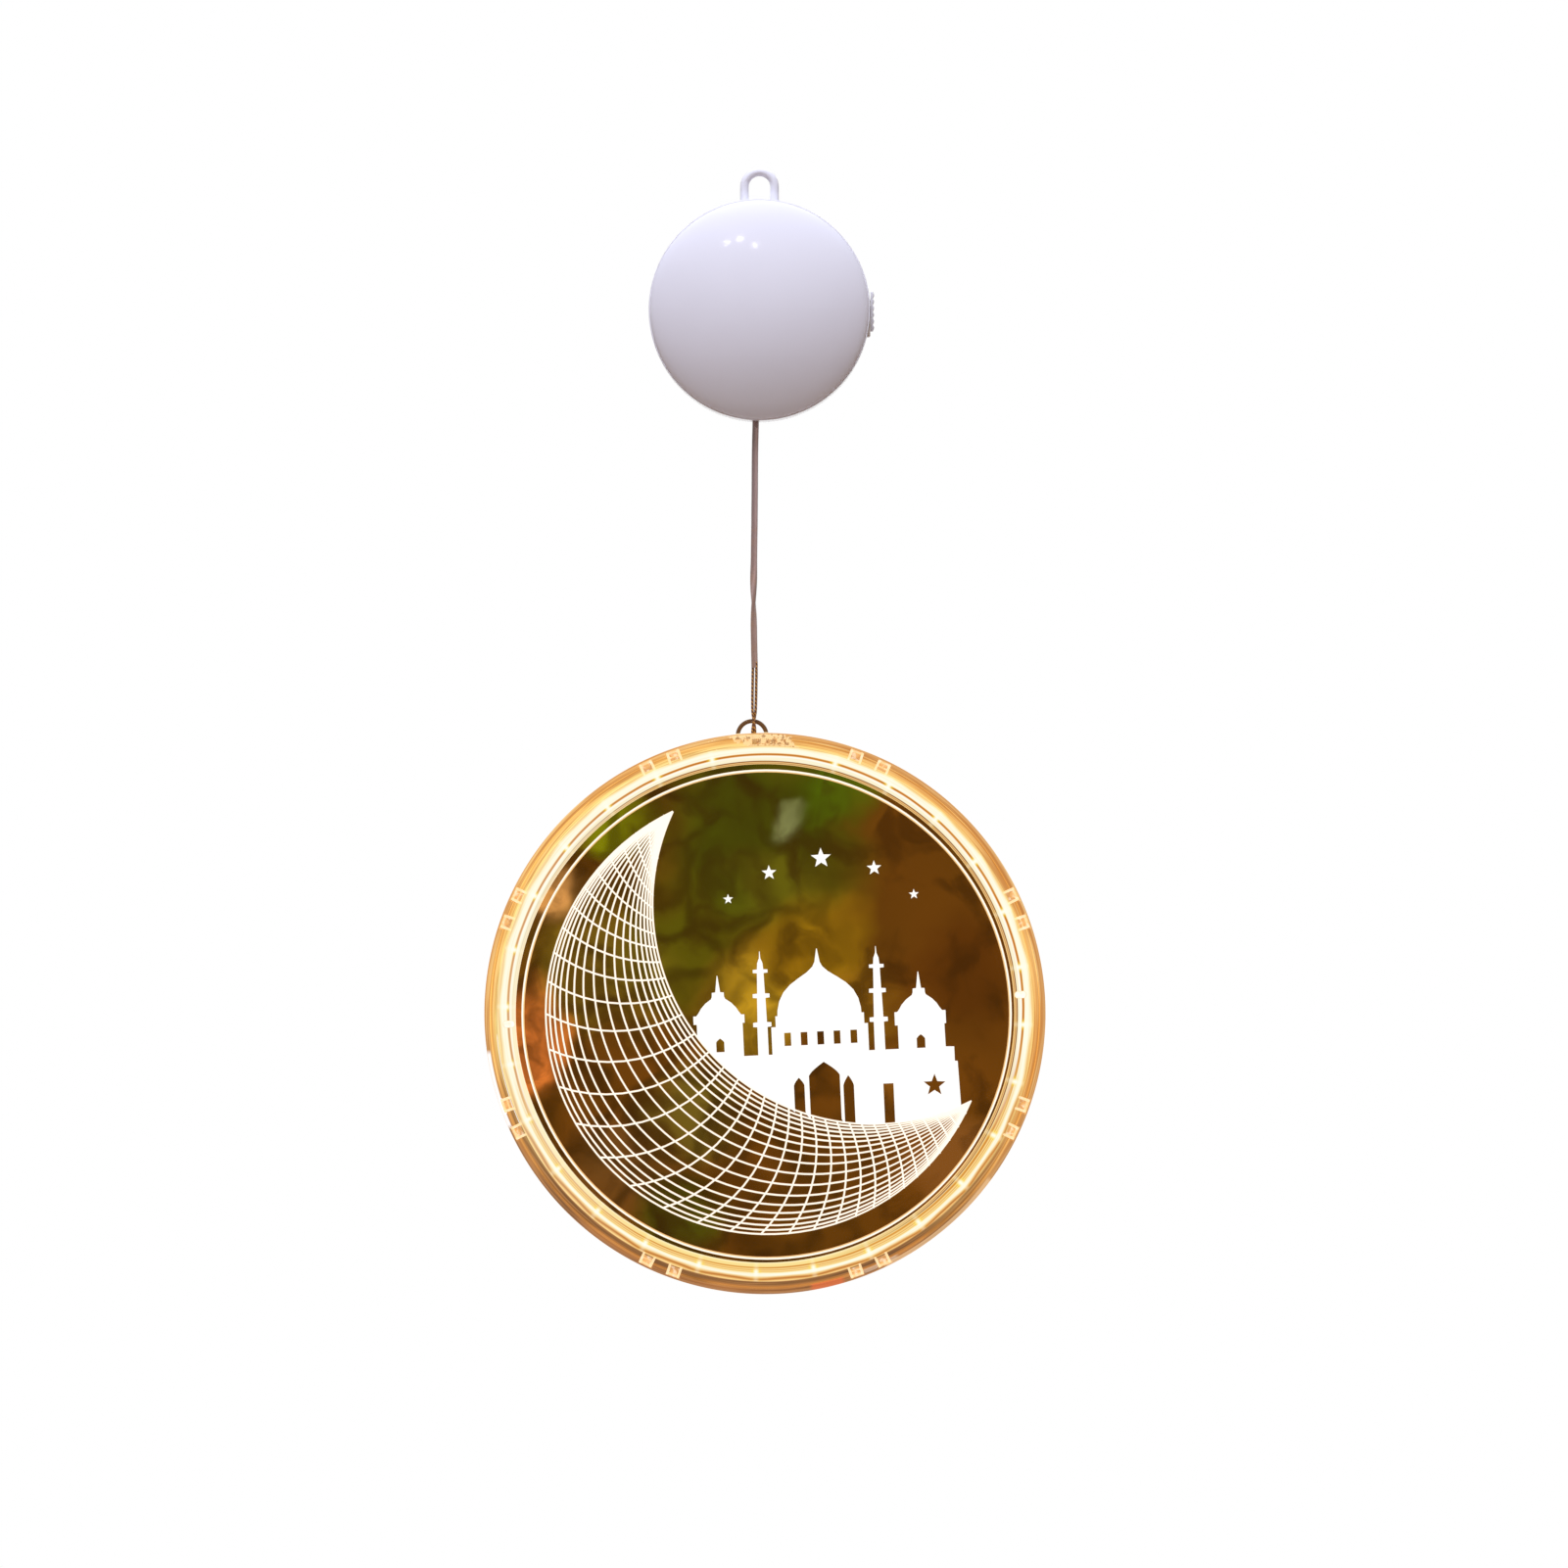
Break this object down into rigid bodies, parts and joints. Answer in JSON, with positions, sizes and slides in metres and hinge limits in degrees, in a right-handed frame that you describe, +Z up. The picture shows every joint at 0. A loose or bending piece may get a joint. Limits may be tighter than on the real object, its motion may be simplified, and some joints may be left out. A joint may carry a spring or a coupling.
{
  "type": "hanging moon light",
  "caption": "Battery pod with hanging loop, thin lead and round edge-lit engraved disc in a snapped clear ring; an ornament to hang.",
  "frame": {"origin": "top of the inside of the battery pod's hanging loop, where a hook carries the light, in the loop's and the lead's plane", "axes": "+Z up, along the hanging light; the front of the pod and the disc face -Y; +X to the viewer's right"},
  "size_m": [0.1599, 0.0227, 0.3214],
  "materials": {
    "pod_white": "smooth glossy injection-moulded plastic",
    "switch_white": "satin moulded plastic",
    "board_green": "solder mask",
    "chip_black": "moulded epoxy",
    "resistor_tan": "lacquered",
    "flex_smoky": "soft translucent PVC",
    "stop_rubber": "matt",
    "wire_black": "smooth insulation",
    "wire_red": "smooth insulation",
    "cell_sleeve": "plain printed sleeve over the can",
    "contact_nickel": "nickel plated",
    "screw_steel": "zinc plated",
    "ring_clear": "clear moulded plastic, lit from inside",
    "disc_acrylic": "polished acrylic sheet",
    "engraving": "frosted engraved lines that scatter the edge light",
    "lamp_warm": "clear resin drop over a warm white lamp",
    "splice_sleeve": "shrink sleeve",
    "wire_copper": "enamelled copper wire"
  },
  "bodies": {
    "pod": {"rear_shell": "pod_white", "front_cover": "pod_white", "switch_body": "switch_white", "circuit_board": "board_green", "timer_chip": "chip_black", "resistor": "resistor_tan", "flex_tail": "flex_smoky", "cord_stop": "stop_rubber", "negative_wire": "wire_black", "positive_wire": "wire_red", "cell_1": "cell_sleeve", "cell_2": "cell_sleeve", "cell_3": "cell_sleeve", "contact_spring_1": "contact_nickel", "contact_spring_2": "contact_nickel", "contact_spring_3": "contact_nickel", "contact_negative": "contact_nickel", "contact_bridge_lower": "contact_nickel", "contact_bridge_upper": "contact_nickel", "contact_positive": "contact_nickel", "case_screw_1": "screw_steel", "case_screw_2": "screw_steel", "case_screw_3": "screw_steel", "case_screw_4": "screw_steel"},
    "door": {"battery_door": "pod_white"},
    "knob": {"switch_knob": "switch_white"},
    "lead": {"lead_flex": "flex_smoky"},
    "wire_pair": {"lead_pair": "wire_copper"},
    "pendant": {"ring_rear": "ring_clear", "ring_front": "ring_clear", "acrylic_disc": "disc_acrylic", "led_string": "lamp_warm", "lead_splice": "splice_sleeve"}
  },
  "joints": [
    {"name": "door_swing", "type": "hinge", "parent": "pod", "child": "door", "pos_m": [0, 0.0095, -0.0638], "axis": [-1, 0, 0], "range_deg": [0, 75]},
    {"name": "switch_slide", "type": "slide", "parent": "pod", "child": "knob", "axis": [0, 0, -1], "range_m": [0, 0.0036]},
    {"name": "lead_swing", "type": "hinge", "parent": "pod", "child": "lead", "pos_m": [-0.0011, 0, -0.07119], "axis": [0, 1, 0], "range_deg": [-70, 70]},
    {"name": "pendant_swing", "type": "hinge", "parent": "lead", "child": "wire_pair", "pos_m": [-0.00138, 0, -0.14139], "axis": [1, 0, 0], "range_deg": [-70, 70]},
    {"name": "pendant_twist", "type": "hinge", "parent": "wire_pair", "child": "pendant", "pos_m": [-0.00163, 0, -0.15929], "axis": [0, 0, 1], "range_deg": [-90, 90], "stiffness_Nm_per_rad": 0.0006}
  ]
}
